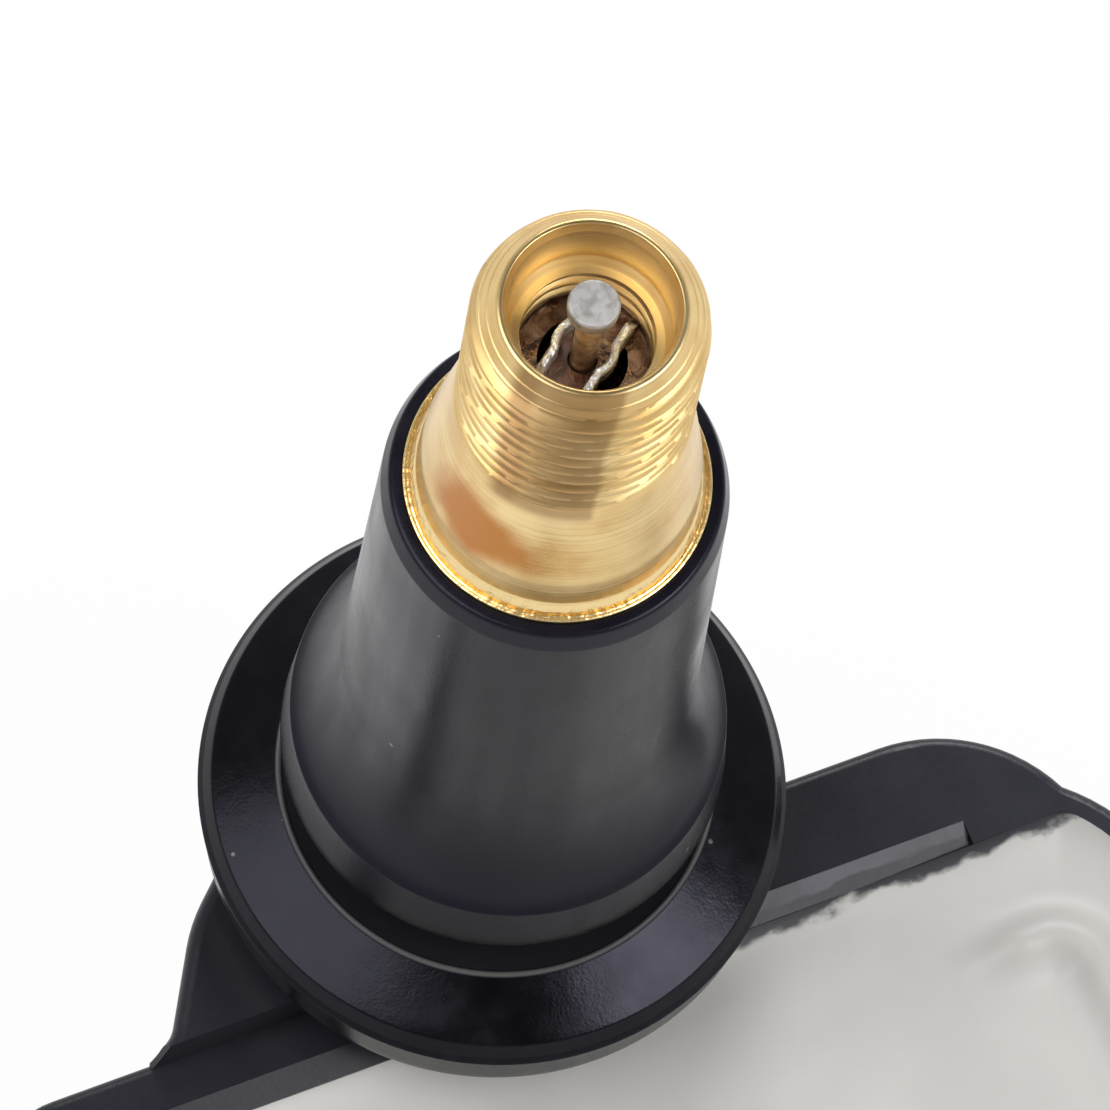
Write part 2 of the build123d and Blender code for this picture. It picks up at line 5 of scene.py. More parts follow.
import bpy
import numpy as np
from bpy.props import FloatProperty, FloatVectorProperty, IntProperty, PointerProperty
from mathutils import Matrix, Vector


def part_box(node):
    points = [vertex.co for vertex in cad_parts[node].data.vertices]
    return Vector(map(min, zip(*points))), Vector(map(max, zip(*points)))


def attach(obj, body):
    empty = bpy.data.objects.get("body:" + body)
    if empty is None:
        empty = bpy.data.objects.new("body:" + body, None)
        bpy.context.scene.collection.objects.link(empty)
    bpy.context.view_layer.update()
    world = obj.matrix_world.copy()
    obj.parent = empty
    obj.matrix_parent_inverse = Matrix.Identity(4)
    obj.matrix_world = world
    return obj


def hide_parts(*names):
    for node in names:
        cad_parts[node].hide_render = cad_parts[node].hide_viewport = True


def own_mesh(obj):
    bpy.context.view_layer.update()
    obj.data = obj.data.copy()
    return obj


bl_info = {
    "name": "Tyre pressure sensor looks",
    "version": (1, 0, 0),
    "blender": (4, 5, 0),
    "location": "View3D > Sidebar > Sensor",
    "description": "Builds the finished pieces and the stage of a tyre pressure sensor around its solids",
    "category": "Object",
}

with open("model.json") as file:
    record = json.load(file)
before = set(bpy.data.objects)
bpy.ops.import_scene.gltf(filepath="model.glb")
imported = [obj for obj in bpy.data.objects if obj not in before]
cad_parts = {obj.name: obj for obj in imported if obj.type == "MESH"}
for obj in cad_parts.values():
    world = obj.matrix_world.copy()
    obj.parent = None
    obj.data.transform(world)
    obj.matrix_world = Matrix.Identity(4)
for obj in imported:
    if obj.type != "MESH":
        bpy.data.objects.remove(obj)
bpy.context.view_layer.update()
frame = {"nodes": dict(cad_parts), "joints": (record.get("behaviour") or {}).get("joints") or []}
STEM_LOW, STEM_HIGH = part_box("valve_stem")
SPRING_LOW, SPRING_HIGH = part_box("core_spring")
PIN_LOW, PIN_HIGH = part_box("core_pin")
TRAY_LOW, TRAY_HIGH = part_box("housing_tray")
POTTING_LOW, POTTING_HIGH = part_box("potting")
MM = 0.001
BRIDGE_HEIGHT = 1.2 * MM
PLUG_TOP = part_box("core_plug")[1].z - BRIDGE_HEIGHT

# Heights above the flange's seat and radii about the stem's axis that the shapes share, in millimetres
COLLAR, COLLAR_TOP = 5.2, -4.1
SHANK, RIB, RIB_HEIGHT = 3.2, 3.9, 1.6
RIBS = [(low, low + RIB_HEIGHT) for low in (4.4, 11.4, 18.4)]
RIM_SEAT = 26.2


def length(name, description, default):
    """A length in metres, given here in millimetres."""
    return FloatProperty(name=name, description=description, default=default * MM, min=0.0, unit="LENGTH",
                         precision=5)


def power(name, description, default):
    """The power of a light in watts."""
    return FloatProperty(name=name, description=description, default=default, min=0.0, unit="POWER")


def colour(name, description, default):
    """A linear colour with three channels."""
    return FloatVectorProperty(name=name, description=description, default=default, size=3, min=0.0, max=1.0,
                               subtype="COLOR")


class SensorStem(bpy.types.PropertyGroup):
    """Sizes and colours of the turned metal parts."""
    cap_pitch: length("Cap thread pitch", "Rise of the outer thread in one turn", 0.7)
    cap_depth: length("Cap thread depth", "Depth of the outer thread", 0.36)
    core_pitch: length("Core thread pitch", "Rise of the thread inside the mouth in one turn", 0.706)
    core_depth: length("Core thread depth", "Depth of the thread inside the mouth", 0.3)
    brass: colour("Brass", "Bright turned brass", (0.92, 0.71, 0.355))
    brass_deep: colour("Deep brass", "Brass where turning lines and tarnish darken it", (0.68, 0.43, 0.15))
    # tarnish is the colour of a painted warm reflection on the shoulder.
    tarnish: colour("Tarnish", "Warm stain on the shoulder", (0.5, 0.19, 0.035))
    # run is the colour of a painted dark reflection down the thread.
    run: colour("Tarnish run", "Brown run down the thread", (0.34, 0.19, 0.08))
    nickel: colour("Nickel", "Plated bridge of the core", (0.86, 0.92, 1.0))
    pin_steel: colour("Pin steel", "Worn head of the pin", (0.53, 0.52, 0.51))


class SensorRubber(bpy.types.PropertyGroup):
    """Colours of the rubber sleeve."""
    rubber: colour("Rubber", "Clean rubber", (0.0022, 0.0021, 0.0028))
    # This colour is painted sheen: the sleeve's rubber is made lighter and bluer than the flange's.
    painted_sheen: colour("Sheen", "Bluish rubber on the sleeve", (0.006, 0.0055, 0.0095))
    # This colour is painted light: the shaded groove under the lip is made lighter than the rubber.
    groove: colour("Groove", "Dull rubber in the groove that the wheel fills", (0.013, 0.013, 0.016))
    bloom: colour("Bloom", "Pale bloom that rubber shows in streaks", (0.007, 0.007, 0.009))
    # This colour also gives the painted highlight on the bead.
    dust: colour("Dust", "Specks of dust", (0.3, 0.3, 0.29))


class SensorTray(bpy.types.PropertyGroup):
    """Sizes and colours of the tray and its potting."""
    plastic: colour("Plastic", "Moulded tray", (0.0095, 0.0095, 0.0145))
    # This colour is a painted highlight on the ledge's slope, and painted light towards the battery's end.
    painted_highlight: colour("Film", "Thin film of compound on the ledge's slope", (0.09, 0.09, 0.115))
    potting: colour("Potting", "Cast compound", (0.575, 0.566, 0.54))
    # This colour is painted shade in the ragged gap along the back wall.
    gap_shade: colour("Bare edge", "Dark ragged gap where the compound has left the ledge", (0.013, 0.013, 0.02))
    potting_edge: colour("Potting edge", "Thin compound at the walls", (0.42, 0.42, 0.39))
    meniscus: length("Meniscus", "How far the compound climbs the walls", 0.6)
    corner_rise: length("Corner rise", "How far the compound climbs in the corner by the battery", 0.5)
    welt: length("Welt height", "Height of the welt over the antenna", 0.9)


class SensorStage(bpy.types.PropertyGroup):
    """Light levels and the camera."""
    key: power("Key light", "Power of the large light at the left", 1.25)
    fill: power("Fill light", "Power of the light at the right", 1.2)
    back: power("Back light", "Power of the light behind", 0.9)
    sky: FloatProperty(name="Sky", description="Strength of the soft light from all round", default=0.6,
                       min=0.0)
    focal: FloatProperty(name="Focal length", description="Camera lens", default=389.19, min=1.0,
                         subtype="DISTANCE_CAMERA")
    columns: IntProperty(name="Columns", description="Steps round a turned piece", default=192, min=24,
                         max=256)


class Wire:
    """A shader socket that takes part in Python expressions. An expression on values adds its Math nodes."""

    def __init__(self, tree, socket=None):
        self.tree, self.socket = tree, socket

    def add(self, kind, settings=None, inputs=None, output=0):
        """Adds one node of that type: its settings first, then the values or links of its sockets."""
        node = self.tree.nodes.new(kind)
        for name, value in (settings or {}).items():
            setattr(node, name, value)
        for name, value in (inputs or {}).items():
            if isinstance(value, Wire):
                self.tree.links.new(value.socket, node.inputs[name])
            else:
                node.inputs[name].default_value = value
        return Wire(self.tree, node.outputs[output])

    def show(self, kind):
        """Links this shader to a new output node of that type."""
        output = self.tree.nodes.new(kind)
        self.tree.links.new(self.socket, output.inputs["Surface"])

    def math(self, operation, *values):
        """Adds a Math node on these values."""
        return self.add("ShaderNodeMath", {"operation": operation}, dict(enumerate(values)))

    def __add__(self, other):
        return self.math("ADD", self, other)

    def __radd__(self, other):
        return self.math("ADD", other, self)

    def __sub__(self, other):
        return self.math("SUBTRACT", self, other)

    def __rsub__(self, other):
        return self.math("SUBTRACT", other, self)

    def __mul__(self, other):
        return self.math("MULTIPLY", self, other)

    def __rmul__(self, other):
        return self.math("MULTIPLY", other, self)

    def step(self, low, high):
        """0 below low, 1 above high, smooth between them; low above high turns it round."""
        return self.add("ShaderNodeMapRange", {"interpolation_type": "SMOOTHSTEP"},
                        {"Value": self, "From Min": low, "From Max": high})

    def edge(self, low, high):
        """The same step between two places in millimetres."""
        return self.step(low * MM, high * MM)

    def tint(self, dark, light):
        """Mixes two colours by this value."""
        dark, light = (c if isinstance(c, Wire) else (*c, 1.0) for c in (dark, light))
        return self.add("ShaderNodeMix", {"data_type": "RGBA"}, {0: self, 6: dark, 7: light}, 2)

    def noise(self, scale, detail=2.0, stretch=(1.0, 1.0, 1.0)):
        """Noise at this vector, with features of 1 / scale metres, stretched by the three factors."""
        place = self.add("ShaderNodeMapping", None, {"Vector": self, "Scale": stretch})
        return self.add("ShaderNodeTexNoise", None, {"Vector": place, "Scale": scale, "Detail": detail})

    def specks(self, scale, size):
        """1 in round specks of that size in cells, one in each cell of 1 / scale metres, and 0 elsewhere."""
        cell = self.add("ShaderNodeTexVoronoi", None, {"Vector": self, "Scale": scale})
        return cell.step(size, size * 0.6)

    def bump(self, height, depth):
        """Normal of a surface raised by height times depth metres."""
        return self.add("ShaderNodeBump", None, {"Strength": 1.0, "Distance": depth, "Height": height})


def fresh_tree(owner):
    """The emptied node tree of a material or a world, as a Wire that adds nodes to it."""
    owner.use_nodes = True
    owner.node_tree.nodes.clear()
    return Wire(owner.node_tree)


def finish(name, paint):
    """A new material. paint takes its place as Wire and returns the shader's sockets by name."""
    material = bpy.data.materials.new(name)
    place = fresh_tree(material).add("ShaderNodeTexCoord", output="Object")
    place.add("ShaderNodeBsdfPrincipled", None, paint(place)).show("ShaderNodeOutputMaterial")
    return material


def parts_of(place):
    """x, y, z, and the distance from the stem's axis, of a place."""
    split = place.tree.nodes.new("ShaderNodeSeparateXYZ")
    place.tree.links.new(place.socket, split.inputs[0])
    x, y, z = (Wire(place.tree, out) for out in split.outputs)
    square = x * x + y * y
    return x, y, z, square.math("SQRT", square)


def turned_lines(place, scale):
    """Noise that changes along a turned piece and not round it, as the marks of a lathe do."""
    *_, z, radius = parts_of(place)
    along = place.add("ShaderNodeCombineXYZ", None, {"X": radius, "Y": z})
    return along.noise(scale, 3.0)


# A soft edge of a finish is a pair of places: where its mask is 0, and where it is 1


def brass_finish(look):
    """Cloudy bright brass with lathe marks and a flaky rim, a painted dark reflection as a brown band down
    the thread, a painted warm reflection as an orange patch on the shoulder, and painted light inside the
    bore.
    """
    warm_reflection_centre = [c * MM for c in (-3.65, -1.72, 30.0)]
    warm_reflection_reach, warm_reflection_spread = (3.9, 2.1), 2.4 * MM
    dark_reflection_left, dark_reflection_right, dark_reflection_middle = (-1.2, -0.6), (2.6, 2.35), (0.25, -0.25)
    dark_reflection_side, dark_reflection_foot, dark_reflection_wall, dark_reflection_spread = (0.0, -2.0), (32.3, 32.9), (2.9, 3.1), 0.5 * MM
    across_x, across_y = 0.66, -0.75
    thread_foot, thread_wall, bore_wall = (32.6, 33.2), (2.95, 3.15), (2.95, 2.75)
    rim_top, rim_wall = (27.3, 27.0), (4.5, 4.7)

    def paint(place):
        marks = turned_lines(place, 7000.0)
        clouds = place.noise(420.0, 3.0)
        # The patch here is a painted warm reflection: an orange patch on the left of the shoulder.
        from_warm_reflection = place.add("ShaderNodeVectorMath", {"operation": "DISTANCE"},
                               {0: place, 1: warm_reflection_centre}, "Value")
        patch = (from_warm_reflection + clouds * warm_reflection_spread).edge(*warm_reflection_reach)
        tone = (marks * 0.5 + clouds * 0.7).step(0.35, 0.8)
        x, y, z, radius = parts_of(place)
        # run is a painted dark reflection: a brown band down the left front of the thread, darkest in its
        # middle.
        across = x * across_x + y * across_y + clouds * dark_reflection_spread
        front = (x + y).edge(*dark_reflection_side) * z.edge(*dark_reflection_foot) * radius.edge(*dark_reflection_wall)
        deep = across.edge(*dark_reflection_middle) * 0.2 + 0.62
        run = across.edge(*dark_reflection_left) * across.edge(*dark_reflection_right) * deep * front
        rim = z.edge(*rim_top) * radius.edge(*rim_wall)
        bore = radius.edge(*bore_wall)
        # Inside the bore, bore * 0.5 is painted light: it makes the brass there lighter.
        warm = (tone + rim + bore * 0.5).tint(look.brass_deep, look.brass)
        base = (patch * 0.95).tint(run.tint(warm, look.run), look.tarnish)
        thread = z.edge(*thread_foot) * radius.edge(*thread_wall)
        flakes = place.noise(3600.0, 2.0) * rim
        rough = marks * 0.16 + clouds * 0.12 + (bore + thread) * 0.12 + 0.16
        return {"Base Color": base, "Metallic": 1.0, "Roughness": rough,
                "Normal": place.bump(marks + flakes * 8.0, 0.006 * MM)}
    return finish("turned_brass", paint)


def nickel_finish(look):
    """Bright pitted nickel on the bridge and mottled dark brown on the plug below it."""
    plug_dark, plug_light = (0.18, 0.11, 0.095), (0.4, 0.3, 0.27)
    bridge_foot = (PLUG_TOP + 0.75 * MM, PLUG_TOP + 1.0 * MM)
    foot_spread = 0.6 * MM

    def paint(place):
        height = parts_of(place)[2]
        wear = place.noise(1500.0, 4.0)
        bridge = (height + wear * foot_spread).step(*bridge_foot)
        pits = place.noise(3800.0, 2.0)
        patch = wear.step(0.35, 0.65).tint(plug_dark, plug_light)
        relief = (wear + pits * 0.9) * (bridge * 0.8 + 0.2)
        return {"Base Color": bridge.tint(patch, look.nickel), "Metallic": 1.0 - bridge * 0.4,
                "Roughness": wear * 0.2 + 0.18 - bridge * 0.08, "Normal": place.bump(relief, 0.2 * MM)}
    return finish("nickel_plate", paint)


def pin_finish(look):
    """Worn steel on the head and a brass-brown shaft."""
    steel_worn = (0.34, 0.32, 0.3)
    shaft_bright, shaft_worn = (0.75, 0.54, 0.32), (0.42, 0.29, 0.17)
    head_foot = (PIN_HIGH.z - 1.3 * MM, PIN_HIGH.z - 0.6 * MM)

    def paint(place):
        height = parts_of(place)[2]
        spots = place.noise(2600.0, 4.0)
        head = height.step(*head_foot)
        worn = spots.step(0.38, 0.68)
        steel = worn.tint(look.pin_steel, steel_worn)
        shaft = worn.tint(shaft_bright, shaft_worn)
        return {"Base Color": head.tint(shaft, steel), "Metallic": 1.0, "Roughness": spots * 0.3 + 0.4,
                "Normal": place.bump(spots, 0.03 * MM)}
    return finish("worn_pin", paint)


def rubber_finish(look):
    """Satin rubber with pale streaks and specks of dust, a painted sheen that makes the sleeve lighter and
    bluer than the flange, painted light in the shaded groove under the lip and a painted highlight on the
    bead.
    """
    flange_top, sleeve_foot, flare_top = (1.5, 0.5), (3.2, 5.0), (14.0, 9.0)
    groove_wall, groove_floor, groove_roof = (7.42, 7.34), (-0.1, -0.02), (3.12, 3.07)
    bead_inside, bead_outside = (7.38, 7.45), (7.62, 7.55)
    bluish_gloss = (0.76, 0.75, 0.96, 1.0)

    def paint(place):
        streaks = place.noise(900.0, 4.0, (1.0, 1.0, 0.12))
        grain = place.noise(9000.0, 2.0)
        rub = place.noise(260.0, 3.0)
        *_, z, radius = parts_of(place)
        flange = z.edge(*flange_top)
        sleeve = z.edge(*sleeve_foot)
        flare = sleeve * z.edge(*flare_top)
        # The groove under the lip gets painted light: its rubber is made lighter.
        groove = radius.edge(*groove_wall) * z.edge(*groove_floor) * z.edge(*groove_roof)
        bead_highlight = radius.edge(*bead_inside) * radius.edge(*bead_outside) * flange
        dust = place.specks(520.0, 0.055) * rub.step(0.46, 0.6)
        rubbed = rub.step(0.35, 0.7)
        # The sleeve gets a painted sheen: lighter, bluer rubber than the flange.
        body = (streaks.step(0.42, 0.75) * rubbed).tint(sleeve.tint(look.rubber, look.painted_sheen), look.bloom)
        # The bead gets a painted highlight: a pale line mixed from the dust colour.
        base = (bead_highlight * 0.3 + dust * 0.6).tint(groove.tint(body, look.groove), look.dust)
        rough = streaks * 0.2 + rubbed * 0.06 + flare * 0.08 + 0.15 - flange * 0.03
        return {"Base Color": base, "Roughness": rough,
                "Specular IOR Level": 0.25, "Specular Tint": bluish_gloss,
                "Normal": place.bump(grain * 0.3 + streaks, 0.016 * MM)}
    return finish("sleeve_rubber", paint)


def tray_finish(look):
    """Moulded plastic with fine grain, painted light that grows towards the battery's end and a ragged
    painted highlight on the ledge's slope.
    """
    ledge_inside, ledge_outside, ledge_end = (-0.05, 0.0), (0.92, 0.86), (16.02, 15.98)
    ledge_foot = (TRAY_HIGH.z - 2.0 * MM, TRAY_HIGH.z - 1.8 * MM)
    highlight_edge, highlight_start, highlight_spread = (-0.12, 0.03), (0.0, 4.0), 0.9 * MM
    end_light_start = (6.0, 20.0)

    def paint(place):
        x, y, z, _ = parts_of(place)
        grain = place.noise(5200.0, 3.0)
        cloud = place.noise(300.0, 3.0)
        ragged = place.noise(900.0, 4.0, (0.5, 1.0, 1.0))
        from_wall = y - POTTING_HIGH.y
        ledge = from_wall.edge(*ledge_inside) * from_wall.edge(*ledge_outside) * x.edge(*ledge_end)
        strip = ledge * z.step(*ledge_foot)
        # Painted highlight: a ragged pale band on the ledge's slope.
        painted_highlight = strip * (from_wall - ragged * highlight_spread).edge(*highlight_edge) * x.edge(*highlight_start)
        # Painted light: the plastic is made paler towards the battery's end.
        end_light = x.edge(*end_light_start) * (cloud * 0.2 + 0.06) * (1.0 - strip)
        body = end_light.tint(cloud.tint(look.plastic, [c * 1.5 for c in look.plastic]), look.painted_highlight)
        return {"Base Color": (painted_highlight * cloud.step(0.2, 0.7) * 0.9).tint(body, look.painted_highlight),
                "Roughness": grain * 0.12 + cloud * 0.1 + 0.24, "Specular IOR Level": 0.4,
                "Normal": place.bump(grain, 0.004 * MM)}
    return finish("moulded_plastic", paint)


def potting_finish(look):
    """Off-white cast compound, mottled, darker where it climbs, with painted shade in a ragged band along the
    ledge.
    """
    climb_foot = (POTTING_HIGH.z - 0.25 * MM, POTTING_HIGH.z + 0.35 * MM)
    gap_shade_edge, gap_shade_start, gap_shade_width, gap_shade_spread = (-0.26, 0.1), (0.0, 4.0), 0.3 * MM, 1.1 * MM

    def paint(place):
        x, y, z, _ = parts_of(place)
        mottle = place.noise(220.0, 4.0)
        fine = place.noise(2600.0, 2.0)
        thin = z.step(*climb_foot)
        body = mottle.step(0.3, 0.7).tint([c * 0.93 for c in look.potting], look.potting)
        ragged = place.noise(1300.0, 4.0, (0.6, 1.0, 1.0))
        inwards = POTTING_HIGH.y - y
        # Painted shade: a dark ragged band in the gap between the compound's ragged edge and the back wall.
        gap_shade = (ragged * gap_shade_spread - gap_shade_width - inwards).edge(*gap_shade_edge) * x.edge(*gap_shade_start)
        worn = (thin * 0.25).tint(body, look.potting_edge)
        return {"Base Color": gap_shade.tint(worn, look.gap_shade), "Roughness": mottle * 0.15 + fine * 0.08 + 0.3,
                "Normal": place.bump(fine * 0.3 + mottle, 0.02 * MM)}
    return finish("cast_compound", paint)


def metal_finish(name, tint, rough):
    """Plain metal with fine wear."""
    def paint(place):
        wear = place.noise(1800.0, 4.0)
        return {"Base Color": wear.step(0.3, 0.75).tint(tint, [c * 0.6 for c in tint]), "Metallic": 1.0,
                "Roughness": wear * 0.25 + rough, "Normal": place.bump(wear, 0.01 * MM)}
    return finish(name, paint)


def dull_finish(name, tint, rough):
    """Plain plastic, ceramic or laminate with fine mottling."""
    def paint(place):
        grain = place.noise(3000.0, 3.0)
        return {"Base Color": grain.step(0.3, 0.7).tint(tint, [c * 0.7 for c in tint]),
                "Roughness": grain * 0.2 + rough, "Normal": place.bump(grain, 0.01 * MM)}
    return finish(name, paint)


def rounded_profile(corners):
    """A profile with rounded corners, from rows of radius, height, rounding and the longest step up to there.

    Each corner is replaced by the arc of that rounding which touches both of its sides, and the straight runs
    between are divided evenly. All numbers are in millimetres.
    """
    arc_points = 7
    rows = np.array(corners, float)
    ends = rows[:, :2]
    pieces = [ends[:1]]
    for i in range(1, len(rows)):
        last = i == len(rows) - 1
        start, corner = pieces[-1][-1], ends[i]
        arc = corner[None]
        if not last and rows[i, 2] > 0:
            to_start, to_next = ends[i - 1] - corner, ends[i + 1] - corner
            to_start = to_start / np.linalg.norm(to_start)
            to_next = to_next / np.linalg.norm(to_next)
            half = np.arccos(np.clip(to_start @ to_next, -1, 1)) / 2
            reach = rows[i, 2] / np.tan(half)
            t = np.linspace(0, 1, arc_points)[:, None]
            first, second = corner + to_start * reach, corner + to_next * reach
            weight = np.sin(half)
            blend = (1 - t) ** 2 * first + 2 * weight * t * (1 - t) * corner + t ** 2 * second
            arc = blend / ((1 - t) ** 2 + 2 * weight * t * (1 - t) + t ** 2)
        run = np.linalg.norm(arc[0] - start)
        steps = max(1, int(np.ceil(run / rows[i, 3])))
        run_points = start + (arc[0] - start) * np.linspace(0, 1, steps + 1)[1:, None]
        pieces.append(np.concatenate([run_points, arc[1:]]))
    return np.concatenate(pieces)


def turned(profile, columns, shape=None):
    """Points of a turned surface: radius and height of the profile, carried round the axis in equal steps.

    shape, where given, takes angle, radius and height as arrays and returns the radius with threads or flats.
    """
    angle = np.linspace(0, 2 * np.pi, columns, endpoint=False)[None, :]
    radius = np.repeat(profile[:, :1], columns, 1)
    height = np.repeat(profile[:, 1:], columns, 1)
    if shape:
        radius = shape(np.broadcast_to(angle, radius.shape), radius, height)
    return np.stack([radius * np.cos(angle), radius * np.sin(angle), height], -1)


def make_piece(name, grid, body, material, closed=False, poles=False):
    """A mesh from a grid of points in millimetres. Columns close, and closed joins the last row to the first.

    poles puts one point at the middle of the first and last row, which closes the two ends.
    """
    sharp_angle = np.radians(50.0)
    rows, columns = grid.shape[:2]
    points = grid.reshape(-1, 3)
    index = np.arange(rows * columns).reshape(rows, columns)
    upper = np.concatenate([index[1:], index[:1]]) if closed else index[1:]
    lower = index if closed else index[:-1]
    right = np.roll(index, -1, 1)
    right_upper = np.concatenate([right[1:], right[:1]]) if closed else right[1:]
    right_lower = right if closed else right[:-1]
    faces = np.stack([lower, right_lower, right_upper, upper], -1).reshape(-1, 4).tolist()
    if poles:
        count = len(points)
        points = np.concatenate([points, grid[0].mean(0)[None], grid[-1].mean(0)[None]])
        faces += np.stack([np.full(columns, count), right[0], index[0]], -1).tolist()
        faces += np.stack([np.full(columns, count + 1), index[-1], right[-1]], -1).tolist()
    mesh = bpy.data.meshes.new(name)
    mesh.from_pydata((points * MM).tolist(), [], faces)
    mesh.polygons.foreach_set("use_smooth", np.ones(len(mesh.polygons), bool))
    mesh.set_sharp_from_angle(angle=sharp_angle)
    mesh.materials.append(material)
    piece = bpy.data.objects.new(name, mesh)
    bpy.context.scene.collection.objects.link(piece)
    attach(piece, body)
    return piece


def dress(nodes, material):
    """Gives solids of the frame a material."""
    for node in nodes:
        mesh = frame["nodes"][node].data
        mesh.materials.clear()
        mesh.materials.append(material)


def ridge(turns):
    """Height of a thread's flank, 0 in the root and 1 on the crest, from the number of turns past a root.

    A triangle wave with its root and crest cut off, so that both are narrow flats.
    """
    root_flat, flank = 0.12, 0.72
    wave = np.abs((turns % 1.0) * 2 - 1)
    return np.clip((wave - root_flat) / flank, 0, 1)


def smooth(value, low, high):
    """0 below low, 1 above high, smooth between them."""
    t = np.clip((value - low) / (high - low), 0, 1)
    return t * t * (3 - 2 * t)


def ribbed_shank(gap, ribs):
    """Profile rows along the shank's ribs, gap outside them, from each rib's near edge to its far edge."""
    inner, outer = SHANK + gap, RIB + gap
    rows = []
    for near, far in ribs:
        rows += [(inner, near, 0, 5), (outer, near, 0, 1), (outer, far, 0, 1), (inner, far, 0, 1)]
    return rows


class SENSOR_OT_stem(bpy.types.Operator):
    """Turned stem: cap thread, bored mouth with the core's thread, shoulder, rim, shank and spigot."""
    bl_idname = "sensor.stem"
    bl_label = "Brass stem"

    def execute(self, context):
        look = context.scene.sensor_stem
        mouth = STEM_HIGH.z / MM
        foot = STEM_LOW.z / MM
        cap_pitch, cap_depth = look.cap_pitch / MM, look.cap_depth / MM
        core_pitch, core_depth = look.core_pitch / MM, look.core_depth / MM
        crest, chamfer, thread_foot = 3.85, 1.1, 33.0
        mouth_bore, core_bore, chamber, passage = 2.7, 2.45, 1.9, 1.15
        core_top, core_end, chamber_top, chamber_floor = 38.4, 33.0, 31.8, 25.11
        cap_lead, core_lead = (thread_foot, thread_foot + 0.5), (core_top + 0.1, core_top - 0.3)
        rim, shoulder = 5.03, 4.55
        spigot, spigot_top, screw_bore, screw_floor = 3.4, -5.1, 1.3, -7.9
        flat, cross_hole, cross_height, cross_floor = 2.9, 0.9, -6.5, 1.2
        corners = [
            (screw_bore, screw_floor, 0, 1), (screw_bore, foot, 0, 1), (spigot, foot, 0.15, 1),
            (spigot, spigot_top, 0, 0.09), (COLLAR, spigot_top, 0.08, 1), (COLLAR, COLLAR_TOP, 0.08, 1),
            (SHANK, COLLAR_TOP, 0, 1), *ribbed_shank(0.0, RIBS), (SHANK, RIM_SEAT, 0, 5),
            (rim, RIM_SEAT, 0, 1), (rim, 26.66, 0.03, 0.3), (4.96, 26.7, 0.03, 0.1), (4.9, 26.6, 0.02, 0.1),
            (4.83, 26.64, 0.02, 0.1), (4.78, 26.86, 0.05, 0.1), (4.62, 27.25, 0.4, 0.1),
            (shoulder, 28.6, 0.6, 0.2), (crest, thread_foot, 0.25, 0.3), (crest, mouth - chamfer, 0.2, 0.066),
            (3.58, mouth - 0.72, 0.1, 0.08), (3.52, mouth - 0.7, 0.08, 0.08),
            (3.35, mouth - 0.42, 0.12, 0.08), (3.3, mouth - 0.4, 0.08, 0.08),
            (3.02, mouth, 0.16, 0.08), (2.86, mouth, 0.05, 0.1),
            (mouth_bore, mouth - 0.3, 0.2, 0.1), (mouth_bore, core_top + 0.25, 0.05, 0.2),
            (core_bore, core_top, 0.05, 0.1), (core_bore, core_end, 0, 0.06), (chamber, chamber_top, 0, 0.5),
            (chamber, chamber_floor, 0, 3), (passage, chamber_floor, 0, 1), (passage, cross_height, 0, 12),
        ]
        profile = rounded_profile(corners)
        before_mouth = np.arange(len(profile)) < np.argmax(profile[:, 1] >= mouth - 1e-6)
        outside = before_mouth[:, None]

        def shape(angle, radius, height):
            turn = angle / (2 * np.pi)
            cap_cut = cap_depth * (1 - ridge(height / cap_pitch - turn))
            cap_cut = cap_cut * smooth(height, *cap_lead)
            cap_limit = crest - cap_cut * (height > thread_foot)
            core_cut = core_depth * (1 - ridge(height / core_pitch - turn))
            core_cut = core_cut * smooth(height, *core_lead)
            core_wall = core_bore - core_depth + core_cut
            on_spigot = outside & (height < spigot_top - 0.05) & (radius > 2)
            flats = np.minimum(radius, flat / np.maximum(np.abs(np.cos(angle)), 1e-6))
            hole = (radius * np.cos(angle)) ** 2 + (height - cross_height) ** 2 < cross_hole ** 2
            threaded = outside & (height > thread_foot - 0.01)
            bored = ~outside & (height < core_top + 0.001) & (height > core_end)
            radius = np.where(threaded, np.minimum(radius, cap_limit), radius)
            radius = np.where(bored, core_wall, radius)
            return np.where(on_spigot, np.where(hole, cross_floor, flats), radius)

        grid = turned(profile, context.scene.sensor_stage.columns, shape)
        stem = make_piece("stem_turned", grid, "sensor", brass_finish(look), poles=True)
        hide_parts("valve_stem")
        return {"FINISHED"}


